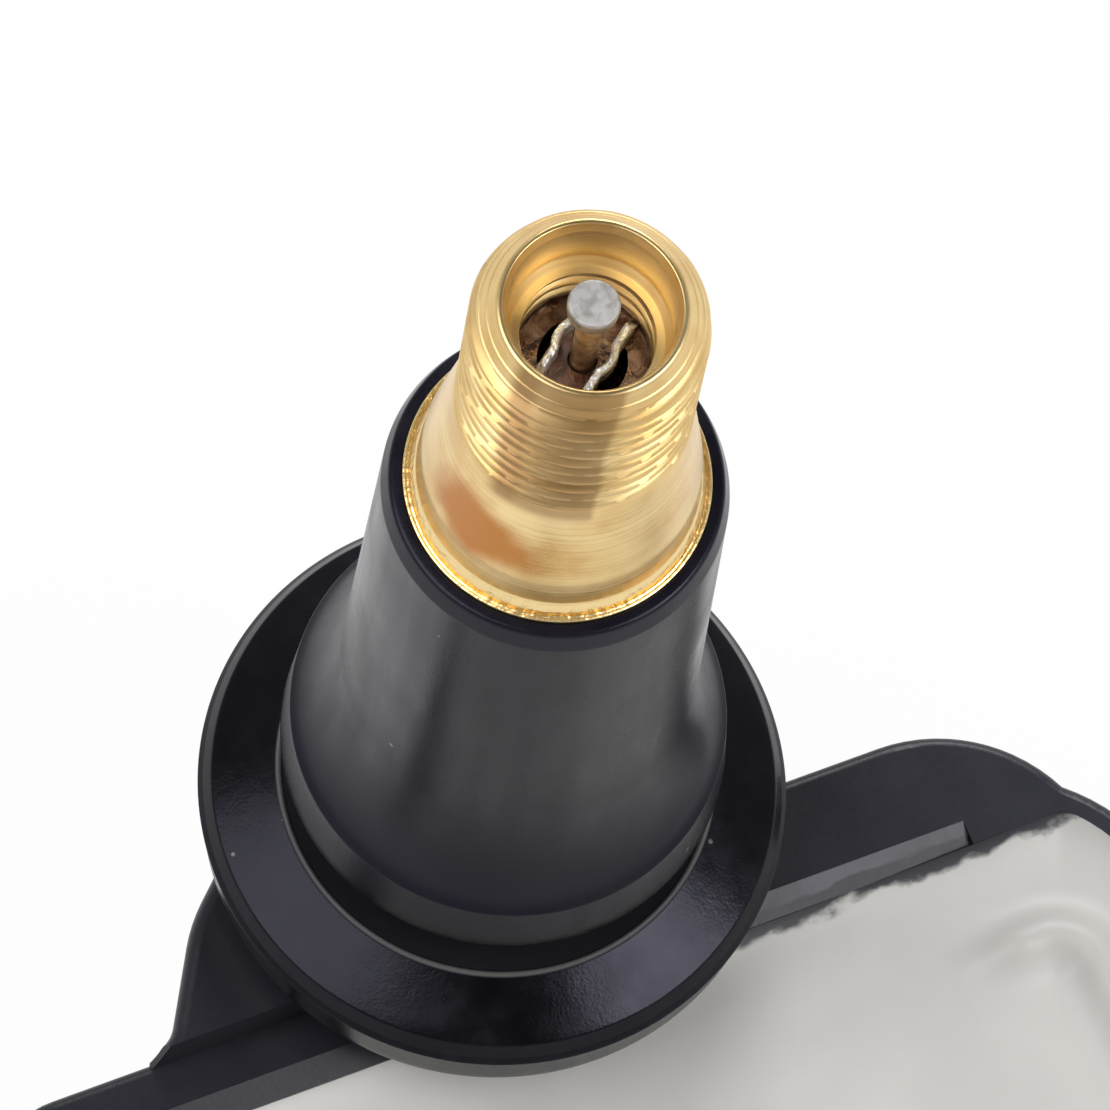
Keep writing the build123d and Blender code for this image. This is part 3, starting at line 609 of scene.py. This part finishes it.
class SENSOR_OT_core(bpy.types.Operator):
    """Valve core: turned pin with a worn head, wound spring, finishes for the plug, barrel, cup and seals."""
    bl_idname = "sensor.core"
    bl_label = "Valve core"

    def execute(self, context):
        look = context.scene.sensor_stem
        top, foot = PIN_HIGH.z / MM, PIN_LOW.z / MM
        shaft, collar, collar_low, collar_high, pin_columns = 0.42, 1.05, 32.4, 32.8, 64
        corners = [
            (0.3, foot, 0, 1), (shaft, foot, 0.05, 1), (shaft, collar_low, 0, 2),
            (collar, collar_low, 0.06, 1), (collar, collar_high, 0.06, 1), (shaft, collar_high, 0, 1),
            (shaft, top - 0.82, 0.2, 1),
            (0.82, top - 0.6, 0.1, 0.1), (0.85, top - 0.1, 0.08, 0.1), (0.78, top, 0.05, 0.1),
            (0.3, top - 0.02, 0, 0.1),
        ]
        grid = turned(rounded_profile(corners), pin_columns)
        pin = make_piece("pin_turned", grid, "pin", pin_finish(look), poles=True)
        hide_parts("core_pin")

        # The wire's centre climbs a helix whose pitch is close at both ends; a circle is carried along it
        low, high = SPRING_LOW.z / MM, SPRING_HIGH.z / MM
        wire, mean, turns, wire_rows, wire_columns = 0.12, 0.86, 6.0, 420, 10
        along = np.linspace(0, 1, wire_rows)
        angle = along * turns * 2 * np.pi
        climb = smooth(along, 0.06, 0.94) * 0.6 + along * 0.4
        height = low + wire + (high - low - 2 * wire) * climb
        out = np.stack([np.cos(angle), np.sin(angle), 0 * angle], -1)
        up = np.array([0.0, 0.0, 1.0])
        centre = out * mean + np.stack([0 * angle, 0 * angle, height], -1)
        round_wire = np.linspace(0, 2 * np.pi, wire_columns, endpoint=False)[:, None]
        grid = centre[:, None] + wire * (np.cos(round_wire) * out[:, None] - np.sin(round_wire) * up)
        steel = metal_finish("spring_steel", (0.5, 0.5, 0.5), 0.2)
        spring = make_piece("spring_wound", grid, "sensor", steel, poles=True)
        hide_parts("core_spring")
        joint = next(j for j in frame["joints"] if j["name"] == "pin_press")
        travel = max(joint["range_m"])
        1 - travel / (SPRING_HIGH.z - SPRING_LOW.z)
        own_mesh(spring)

        dress(["core_plug"], nickel_finish(look))
        dress(["core_barrel", "core_cup"], metal_finish("core_brass", (0.7, 0.5, 0.22), 0.2))
        dress(["core_gasket"], dull_finish("gasket_plastic", (0.5, 0.06, 0.04), 0.4))
        dress(["core_cup_seal", "port_seal"], dull_finish("seal_rubber", (0.02, 0.02, 0.02), 0.5))
        return {"FINISHED"}


class SENSOR_OT_rubber(bpy.types.Operator):
    """Rubber sleeve: rounded top, flare to the snap-in lip, neck and flange with its moulding line."""
    bl_idname = "sensor.rubber"
    bl_label = "Rubber sleeve"

    def execute(self, context):
        neck, lip_low, lip, lip_top, sleeve, sleeve_foot = 5.9, 3.05, 7.44, 5.67, 6.0, 11.5
        gap, flare_points, fullness = 0.01, 14, 0.75
        downwards = [(high, low) for low, high in reversed(RIBS)]

        # The flare goes from the lip to the sleeve as a quarter of an oval, filled out by a power of its rise
        t = np.linspace(0, 1, flare_points)[1:-1] * np.pi / 2
        flare_radius = lip - (lip - sleeve) * np.sin(t)
        flare_height = lip_top + (sleeve_foot - lip_top) * (1 - np.cos(t)) ** fullness
        flare = [(radius, height, 0, 1) for radius, height in zip(flare_radius, flare_height)]
        corners = [
            (COLLAR, COLLAR_TOP, 0, 1), (9.9, COLLAR_TOP, 0.5, 1), (10.06, -1.92, 0.1, 0.4),
            (10.2, -1.7, 0.06, 0.2), (10.02, -1.48, 0.1, 0.2), (9.75, -1.0, 0.2, 0.2),
            (7.62, -0.05, 0.04, 0.4), (7.5, 0.09, 0.05, 0.1), (7.36, 0.0, 0.04, 0.1),
            (neck, 0.0, 0.3, 0.4), (neck, lip_low, 0.3, 0.4), (7.64, lip_low, 0.2, 0.4),
            (lip, lip_top, 0.1, 0.4), *flare, (sleeve, sleeve_foot, 0.5, 0.4), (5.68, 25.7, 0.35, 0.6),
            (5.45, 26.46, 0.2, 0.1), (5.05, 26.52, 0.03, 0.1), (5.04, RIM_SEAT, 0, 1),
            (SHANK + gap, RIM_SEAT, 0, 1), *ribbed_shank(gap, downwards), (SHANK + gap, COLLAR_TOP, 0, 5),
        ]
        grid = turned(rounded_profile(corners), context.scene.sensor_stage.columns)
        rubber = rubber_finish(context.scene.sensor_rubber)
        moulded = make_piece("sleeve_moulded", grid, "sensor", rubber, closed=True)
        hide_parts("rubber_grommet")
        return {"FINISHED"}


def walk_round(arcs, columns):
    """Points in equal steps round a closed edge of arcs joined by straight runs.

    An arc has its centre's x and y, its radius, and its first and last heading in quarter turns.
    """
    arc_points = 24
    path = []
    for centre_x, centre_y, radius, first, last in arcs:
        heading = np.linspace(first, last, arc_points) * np.pi / 2
        path.append(np.stack([centre_x + radius * np.cos(heading), centre_y + radius * np.sin(heading)], -1))
    path = np.concatenate([*path, path[0][:1]])
    walked = np.concatenate([[0], np.cumsum(np.linalg.norm(np.diff(path, axis=0), axis=1))])
    run = np.linspace(0, walked[-1], columns, endpoint=False)
    return np.stack([np.interp(run, walked, path[:, 0]), np.interp(run, walked, path[:, 1])], -1)


def welt_crest(x, y):
    """Height of the welt from 0 to 1: it falls off as exp(-d^2) with the distance d from its line, in widths.

    The line comes along the back, where it fades in, turns a quarter circle and goes along the side.
    """
    side_x, back_y, bend, end_y, width = 18.6, -10.3, 1.7, -24.4, 1.05
    fade_start, fade_end = 13.2, 16.4
    past_x, past_y = x > side_x - bend, y > back_y - bend
    to_arc = np.abs(np.hypot(x - (side_x - bend), y - (back_y - bend)) - bend)
    to_side = np.hypot(x - side_x, np.minimum(y - end_y, 0))
    to_back = np.where(past_x, np.inf, np.abs(y - back_y))
    to_rest = np.where(past_y, np.where(past_x, to_arc, np.inf), to_side)
    back_run = np.exp(-(to_back / width) ** 2) * smooth(x, fade_start, fade_end)
    return np.maximum(back_run, np.exp(-(to_rest / width) ** 2))


class SENSOR_OT_tray(bpy.types.Operator):
    """Tray and screw finishes, and the compound: a level that climbs the walls and has a welt."""
    bl_idname = "sensor.tray"
    bl_label = "Tray and potting"

    def execute(self, context):
        look = context.scene.sensor_tray
        dress(["housing_tray"], tray_finish(look))
        dress(["fixing_screw"], metal_finish("zinc_plate", (0.55, 0.55, 0.56), 0.25))
        left_x, right_x = POTTING_LOW.x / MM, POTTING_HIGH.x / MM
        front_y, back_y = POTTING_LOW.y / MM, POTTING_HIGH.y / MM
        level, floor = -7.6, POTTING_LOW.z / MM
        wide, tight, end, end_bulge = 4.1, 1.0, 6.3, 1.8
        columns, rings, crowding, skirt_rows, under_share = 480, 150, 1.6, 5, 0.02
        middle = np.array([(left_x + right_x) / 2, (front_y + back_y) / 2])

        # The hollow's edge has the end's large arc, the tight corner where that meets the back wall and three
        # wide corners. A ring is the edge scaled towards the middle, and the rings lie closer near the wall
        end_x, end_y = right_x - end, back_y + end_bulge - end
        tight_y = back_y - tight
        tight_x = end_x + np.sqrt((end - tight) ** 2 - (tight_y - end_y) ** 2)
        meet = np.arctan2(tight_y - end_y, tight_x - end_x) / (np.pi / 2)
        arcs = [(end_x, end_y, end, 0, meet), (tight_x, tight_y, tight, meet, 1),
                (left_x + wide, back_y - wide, wide, 1, 2), (left_x + wide, front_y + wide, wide, 2, 3),
                (right_x - wide, front_y + wide, wide, 3, 4)]
        edge = walk_round(arcs, columns)
        share = 1 - np.linspace(1, 0, rings) ** crowding
        flat = middle + share[1:, None, None] * (edge - middle)[None]
        x, y = flat[..., 0], flat[..., 1]

        # Distance from the wall: from the nearest side, or in a large or wide corner from its arc
        wall = np.minimum(np.minimum(x - left_x, right_x - x), np.minimum(y - front_y, back_y - y))
        for centre_x, centre_y, radius, *_ in arcs[:1] + arcs[2:]:
            out_x = np.sign(centre_x - middle[0]) * (x - centre_x)
            out_y = np.sign(centre_y - middle[1]) * (y - centre_y)
            in_corner = (out_x > 0) & (out_y > 0)
            wall = np.where(in_corner, np.minimum(wall, radius - np.hypot(out_x, out_y)), wall)

        # Height: the level, plus a climb that fades away from the wall, plus the welt's rounded ridge
        climb_fade, rise_fade, corner_reach = 0.9, 3.0, 6.0
        near_corner = np.exp(-((x - tight_x) ** 2 + (y - tight_y) ** 2) / corner_reach ** 2)
        climb = look.meniscus / MM * np.exp(-wall / climb_fade)
        rise = look.corner_rise / MM * near_corner * np.exp(-wall / rise_fade)
        top = np.stack([x, y, level + climb + rise + look.welt / MM * welt_crest(x, y)], -1)

        # A skirt goes from the lip straight down to the floor, which a small ring closes in the middle
        lip = top[-1]
        skirt = np.repeat(lip[None], skirt_rows, 0)
        down = np.linspace(0, 1, skirt_rows + 1)[1:, None]
        skirt[..., 2] = lip[:, 2] + (floor - lip[:, 2]) * down
        near_middle = middle + under_share * (edge - middle)
        under = np.concatenate([near_middle, np.full((columns, 1), floor)], -1)[None]
        grid = np.concatenate([top, skirt, under])[::-1]
        compound = potting_finish(look)
        potting = make_piece("potting_cast", grid, "sensor", compound, poles=True)
        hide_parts("potting")
        return {"FINISHED"}


class SENSOR_OT_electronics(bpy.types.Operator):
    """Finishes of the board, the battery and what else the compound holds."""
    bl_idname = "sensor.electronics"
    bl_label = "Electronics"

    def execute(self, context):
        dress(["circuit_board"], dull_finish("solder_mask", (0.02, 0.14, 0.05), 0.3))
        dress(["battery_cell", "battery_tab_positive", "battery_tab_negative", "crystal_can"],
              metal_finish("nickel_sheet", (0.6, 0.6, 0.58), 0.25))
        dress(["sensor_chip"], dull_finish("chip_package", (0.02, 0.02, 0.022), 0.45))
        dress(["coil_core"], dull_finish("ferrite", (0.05, 0.045, 0.04), 0.5))
        dress(["coil_winding", "antenna_wire"], metal_finish("enamelled_copper", (0.6, 0.26, 0.1), 0.25))
        dress(["chip_capacitors"], dull_finish("capacitor_ceramic", (0.32, 0.22, 0.12), 0.4))
        return {"FINISHED"}


def lay_floor(scene):
    """A pale sheet under the tray that lights the part as paper does and is seen as white."""
    reach, gap = 2.0, 0.02 * MM
    seen_white, mirrored_white = 0.95, 0.85
    ground = TRAY_LOW.z - gap
    corners = [(-reach, -reach, ground), (reach, -reach, ground),
               (reach, reach, ground), (-reach, reach, ground)]
    mesh = bpy.data.meshes.new("floor")
    mesh.from_pydata(corners, [], [(0, 1, 2, 3)])
    floor = bpy.data.objects.new("floor", mesh)
    scene.collection.objects.link(floor)
    material = bpy.data.materials.new("pale_floor")
    root = fresh_tree(material)
    seen = root.add("ShaderNodeLightPath", output="Is Camera Ray")
    mirrored = root.add("ShaderNodeLightPath", output="Is Glossy Ray")
    through = root.add("ShaderNodeLightPath", output="Is Transmission Ray")
    shown = seen * seen_white + mirrored * mirrored_white + through * mirrored_white
    paper = root.add("ShaderNodeBsdfDiffuse", None, {"Color": (0.85, 0.85, 0.85, 1.0)})
    white = root.add("ShaderNodeEmission", None, {"Color": (1.0, 1.0, 1.0, 1.0), "Strength": 1.0})
    root.add("ShaderNodeMixShader", None, {0: shown, 1: paper, 2: white}).show("ShaderNodeOutputMaterial")
    mesh.materials.append(material)


def soft_room(scene, sky):
    """Light from all round that is darker overhead, and white where the camera sees past the floor."""
    zenith, dark_from, dark_to = (0.1, 0.1, 0.11), 0.15, 0.9
    scene.world = bpy.data.worlds.new("soft_room")
    root = fresh_tree(scene.world)
    height = parts_of(root.add("ShaderNodeTexCoord", output="Generated"))[2]
    dome = height.step(dark_from, dark_to).tint((1.0, 1.0, 1.0), zenith)
    seen = root.add("ShaderNodeLightPath", output="Is Camera Ray")
    room = root.add("ShaderNodeBackground", None, {"Color": dome, "Strength": sky})
    white = root.add("ShaderNodeBackground", None, {"Color": (1.0, 1.0, 1.0, 1.0), "Strength": 1.0})
    root.add("ShaderNodeMixShader", None, {0: seen, 1: room, 2: white}).show("ShaderNodeOutputWorld")


def hang_lamp(scene, name, watts, size, place, aim):
    """A square light that faces a point. Its size, its place and the point are in metres."""
    light = bpy.data.lights.new(name, "AREA")
    light.energy, light.size = watts, size
    lamp = bpy.data.objects.new(name, light)
    lamp.rotation_euler = (Vector(aim) - Vector(place)).to_track_quat("-Z", "Y").to_euler()
    lamp.location = place
    scene.collection.objects.link(lamp)


def set_camera(scene, focal):
    """The camera, from its right, down and forward directions and its place in metres."""
    right, down, forward = (0.9212, -0.3810, 0.0792), (-0.3277, -0.8693, -0.3702), (0.2099, 0.3151, -0.9256)
    place, sensor_width, nearest, farthest = (-0.08230, -0.12434, 0.38467), 36.0, 0.01, 10.0
    camera = bpy.data.cameras.new("camera")
    camera.lens, camera.sensor_width = focal, sensor_width
    camera.clip_start, camera.clip_end = nearest, farthest
    holder = bpy.data.objects.new("camera", camera)
    turn = Matrix((right, [-c for c in down], [-c for c in forward])).transposed().to_4x4()
    turn.translation = place
    holder.matrix_world = turn
    scene.collection.objects.link(holder)
    scene.camera = holder


class SENSOR_OT_stage(bpy.types.Operator):
    """Pale floor, soft lights and the camera above the mouth."""
    bl_idname = "sensor.stage"
    bl_label = "Stage"

    def execute(self, context):
        scene = context.scene
        look = scene.sensor_stage
        scene.view_settings.view_transform = "Standard"
        lay_floor(scene)
        soft_room(scene, look.sky)
        hang_lamp(scene, "key_light", look.key, 0.34, (-0.24, 0.04, 0.36), (0.0, 0.0, 0.02))
        hang_lamp(scene, "fill_light", look.fill, 0.24, (0.22, -0.23, 0.36), (0.0, 0.0, 0.01))
        hang_lamp(scene, "back_light", look.back, 0.2, (0.2, 0.34, 0.3), (0.0, -0.01, 0.0))
        set_camera(scene, look.focal)
        return {"FINISHED"}


class SENSOR_PT_panel(bpy.types.Panel):
    """Lists the pieces and their sizes and colours."""
    bl_idname = "SENSOR_PT_panel"
    bl_label = "Tyre pressure sensor"
    bl_space_type = "VIEW_3D"
    bl_region_type = "UI"
    bl_category = "Sensor"

    def draw(self, context):
        for operator in OPERATORS:
            self.layout.operator(operator.bl_idname)
        for name in GROUPS:
            box = self.layout.box()
            for prop in getattr(context.scene, name).bl_rna.properties:
                if prop.identifier not in ("rna_type", "name"):
                    box.prop(getattr(context.scene, name), prop.identifier)


GROUPS = {"sensor_stem": SensorStem, "sensor_rubber": SensorRubber, "sensor_tray": SensorTray,
          "sensor_stage": SensorStage}
OPERATORS = (SENSOR_OT_stem, SENSOR_OT_core, SENSOR_OT_rubber, SENSOR_OT_tray, SENSOR_OT_electronics,
             SENSOR_OT_stage)


def register():
    for kind in (*GROUPS.values(), *OPERATORS, SENSOR_PT_panel):
        bpy.utils.register_class(kind)
    for name, kind in GROUPS.items():
        setattr(bpy.types.Scene, name, PointerProperty(type=kind))


def unregister():
    for name in GROUPS:
        delattr(bpy.types.Scene, name)
    for kind in (SENSOR_PT_panel, *OPERATORS, *GROUPS.values()):
        bpy.utils.unregister_class(kind)


def main():
    """Builds every piece and the stage."""
    register()
    bpy.ops.sensor.stem()
    bpy.ops.sensor.core()
    bpy.ops.sensor.rubber()
    bpy.ops.sensor.tray()
    bpy.ops.sensor.electronics()
    bpy.ops.sensor.stage()
    bpy.context.view_layer.update()


if __name__ == "__main__":
    main()
